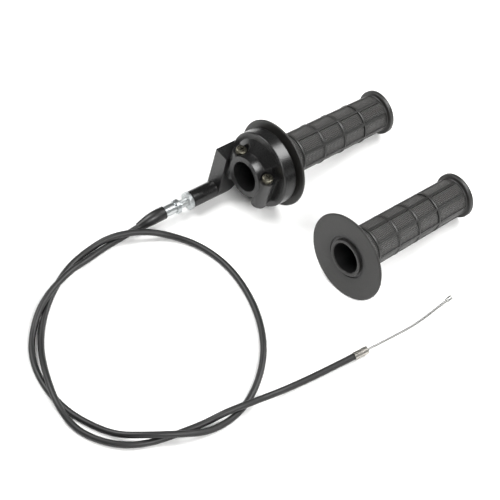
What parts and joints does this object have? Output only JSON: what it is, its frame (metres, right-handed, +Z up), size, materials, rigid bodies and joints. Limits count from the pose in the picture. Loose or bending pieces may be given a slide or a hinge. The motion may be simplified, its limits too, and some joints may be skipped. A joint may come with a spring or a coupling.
{
  "type": "throttle grip",
  "caption": "Quick-turn motorcycle throttle with rubber grip, split clamp housing, cable with adjuster and boot, and the matching left-hand grip, laid on a surface.",
  "frame": {"origin": "on the resting surface, under the middle of the box round the rigid pieces (the cable and what is on it left out)", "axes": "+X along the throttle in plan, from the clamp to the closed end of the grip; +Y to the side the cable arm is on; +Z up from the resting surface"},
  "size_m": [0.3445, 0.202, 0.0641],
  "materials": {
    "housing_plastic": "satin black moulded plastic",
    "grip_rubber": "dark grey moulded rubber, finely knurled",
    "tube_plastic": "black moulded nylon",
    "screw_steel": "aged zinc plate",
    "zinc_plate": "bright zinc plate",
    "guide_steel": "drawn steel",
    "insert_brass": "turned",
    "boot_rubber": "smooth black rubber",
    "jacket": "satin black vinyl",
    "liner": "white liner",
    "wire_steel": "stranded steel wire"
  },
  "bodies": {
    "housing": {"housing_lower": "housing_plastic", "cable_arm": "housing_plastic", "housing_cover": "housing_plastic", "clamp_screws": "screw_steel", "clamp_nuts": "zinc_plate", "elbow_guide": "guide_steel", "inner_wire": "wire_steel", "snout_insert": "insert_brass", "cable_boot": "boot_rubber", "conduit": "jacket", "conduit_liner": "liner", "end_ferrule": "zinc_plate"},
    "throttle": {"throttle_tube": "tube_plastic", "throttle_grip": "grip_rubber", "throttle_flange": "grip_rubber", "cable_pulley": "tube_plastic", "drum_nipple": "insert_brass", "wire_head": "wire_steel"},
    "lock_nut": {"lock_nut": "zinc_plate"},
    "cable_seat": {"conduit_cap": "zinc_plate"},
    "adjuster": {"cable_adjuster": "zinc_plate"},
    "wire_end": {"end_wire": "wire_steel", "end_nipple": "insert_brass"},
    "left_grip": {"left_grip": "grip_rubber", "left_flange": "grip_rubber"}
  },
  "joints": [
    {"name": "throttle_twist", "type": "hinge", "parent": "housing", "child": "throttle", "pos_m": [-0.01734, 0.04802, 0.03223], "axis": [0.9879, 0, -0.1552], "range_deg": [0, 75]},
    {"name": "wire_draw", "type": "slide", "parent": "housing", "child": "wire_end", "axis": [-0.9872, 0.1581, -0.0227], "range_m": [0, 0.025]},
    {"name": "adjuster_feed", "type": "slide", "parent": "housing", "child": "cable_seat", "axis": [0.9945, -0.0987, -0.0362], "range_m": [0, 0.002]},
    {"name": "adjuster_turn", "type": "hinge", "parent": "cable_seat", "child": "adjuster", "pos_m": [-0.04996, 0.07506, 0.00693], "axis": [-0.9945, 0.0987, 0.0362], "range_deg": [0, 720]},
    {"name": "lock_nut_turn", "type": "hinge", "parent": "housing", "child": "lock_nut", "pos_m": [-0.04996, 0.07506, 0.00693], "axis": [-0.9945, 0.0987, 0.0362], "range_deg": [0, 180]},
    {"name": "left_grip_lift", "type": "slide", "parent": "housing", "child": "left_grip", "axis": [0, 0, 1], "range_m": [0, 0.05]}
  ],
  "couplings": [
    {"joint": "wire_draw", "follows": "throttle_twist", "m_per_rad": 0.019},
    {"joint": "adjuster_turn", "follows": "adjuster_feed", "rad_per_m": 6283.2}
  ]
}
